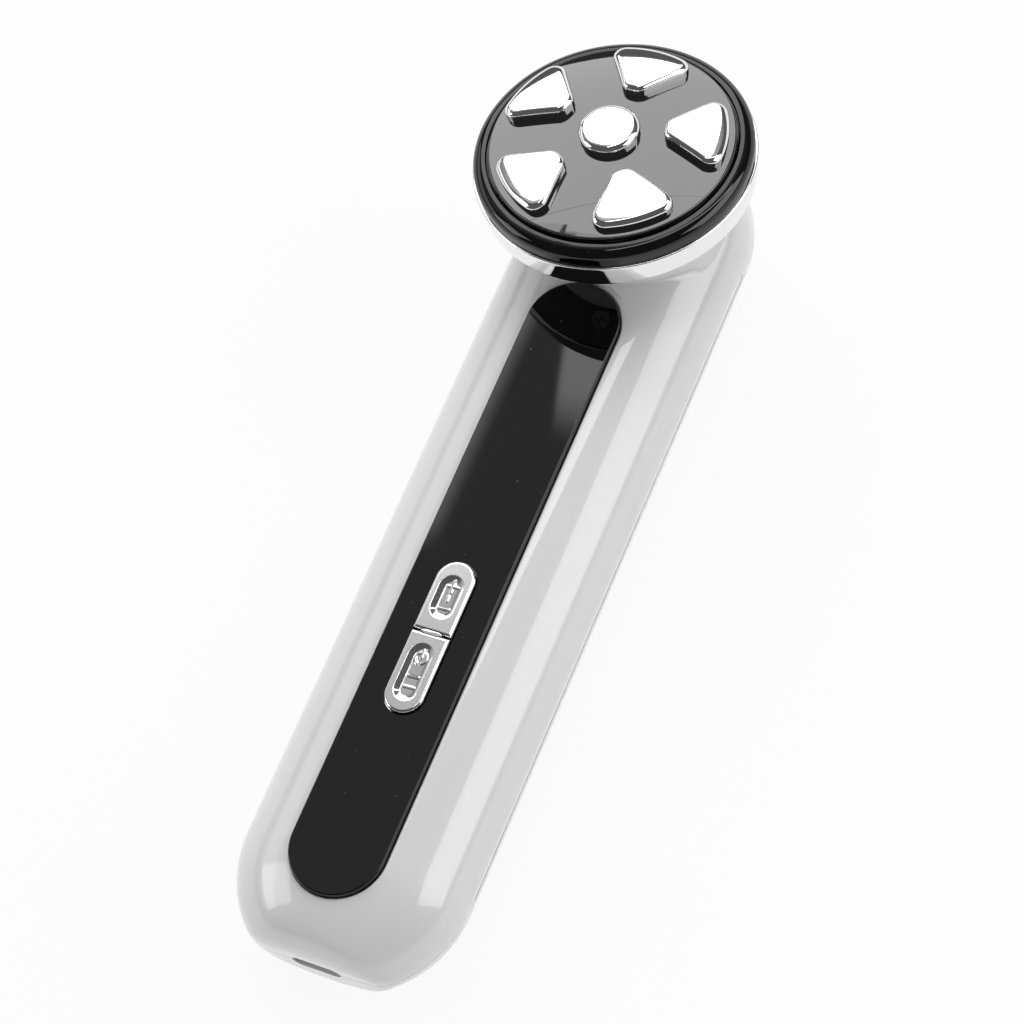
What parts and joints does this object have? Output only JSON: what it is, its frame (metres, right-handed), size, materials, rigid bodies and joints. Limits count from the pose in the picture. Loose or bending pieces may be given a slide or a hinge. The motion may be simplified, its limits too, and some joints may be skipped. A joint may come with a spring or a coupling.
{
  "type": "facial toning device",
  "caption": "Slim oval handle with an obround gloss inlay and push keys, carrying a tilted round head with raised metal electrodes.",
  "frame": {"origin": "middle of the base of the bounding box, with the handle lying on its back", "axes": "+Y along the handle towards the head, +Z out of the front where the inlay is, +X to the side"},
  "size_m": [0.0504, 0.1716, 0.048],
  "materials": {
    "shell_white": "pearl white gloss",
    "gloss_black": "piano black gloss",
    "bright_chrome": "polished chrome",
    "key_silver": "satin silver plating",
    "adhesive_film": "thin film",
    "switch_body": "moulded, matt",
    "plunger_white": "moulded, satin",
    "clear_guide": "clear moulding",
    "led_white": "encapsulated",
    "board_green": "solder mask on glass laminate",
    "chip_black": "moulded epoxy",
    "socket_steel": "drawn steel",
    "soft_rubber": "matt elastomer",
    "cell_wrap": "film-wrapped cell",
    "foam": "closed-cell foam",
    "plug_ivory": "moulded nylon",
    "lead_red": "insulated wire",
    "winding_tape": "taped winding",
    "capacitor_sleeve": "sleeved can",
    "motor_can": "drawn steel",
    "heavy_weight": "sintered, heavy",
    "cable_gray": "sheathed cable",
    "screw_steel": "plated steel"
  },
  "bodies": {
    "casing": {"front_shell": "shell_white", "back_cover": "shell_white", "side_strip_left": "bright_chrome", "side_strip_right": "bright_chrome", "inlay_panel": "gloss_black", "inlay_adhesive": "adhesive_film", "key_divider": "bright_chrome", "level_switch": "switch_body", "mode_switch": "switch_body", "light_guide": "clear_guide", "status_leds": "led_white", "main_board": "board_green", "controller_chip": "chip_black", "charging_socket": "socket_steel", "port_gasket": "soft_rubber", "battery": "cell_wrap", "battery_pad": "foam", "battery_plug": "plug_ivory", "battery_leads": "lead_red", "pulse_transformer": "winding_tape", "storage_capacitor": "capacitor_sleeve", "motor": "motor_can", "motor_boot": "soft_rubber", "motor_plug": "plug_ivory", "motor_leads": "lead_red", "head_connector": "plug_ivory", "head_harness": "cable_gray", "head_plug": "plug_ivory", "head_cup": "switch_body", "head_ring": "bright_chrome", "bezel": "gloss_black", "face_plate": "gloss_black", "face_gasket": "soft_rubber", "neck_gasket": "soft_rubber", "head_board": "board_green", "electrode_1": "bright_chrome", "electrode_2": "bright_chrome", "electrode_3": "bright_chrome", "electrode_4": "bright_chrome", "electrode_5": "bright_chrome", "centre_electrode": "bright_chrome", "case_screws": "screw_steel", "screw_plugs": "shell_white", "board_screws": "screw_steel", "neck_screws": "screw_steel", "head_screws": "screw_steel", "electrode_screws": "screw_steel"},
    "level_button": {"level_key": "key_silver", "level_plunger": "plunger_white"},
    "mode_button": {"mode_key": "key_silver", "mode_plunger": "plunger_white"},
    "motor_rotor": {"motor_shaft": "motor_can", "offset_weight": "heavy_weight"}
  },
  "joints": [
    {"name": "level_key_press", "type": "slide", "parent": "casing", "child": "level_button", "axis": [0, 0, -1], "range_m": [0, 0.00035], "stiffness_N_per_m": 1500},
    {"name": "mode_key_press", "type": "slide", "parent": "casing", "child": "mode_button", "axis": [0, 0, -1], "range_m": [0, 0.00035], "stiffness_N_per_m": 1500},
    {"name": "motor_spin", "type": "hinge", "parent": "casing", "child": "motor_rotor", "pos_m": [0, 0.03572, 0.0075], "axis": [0, 1, 0], "continuous": true}
  ]
}
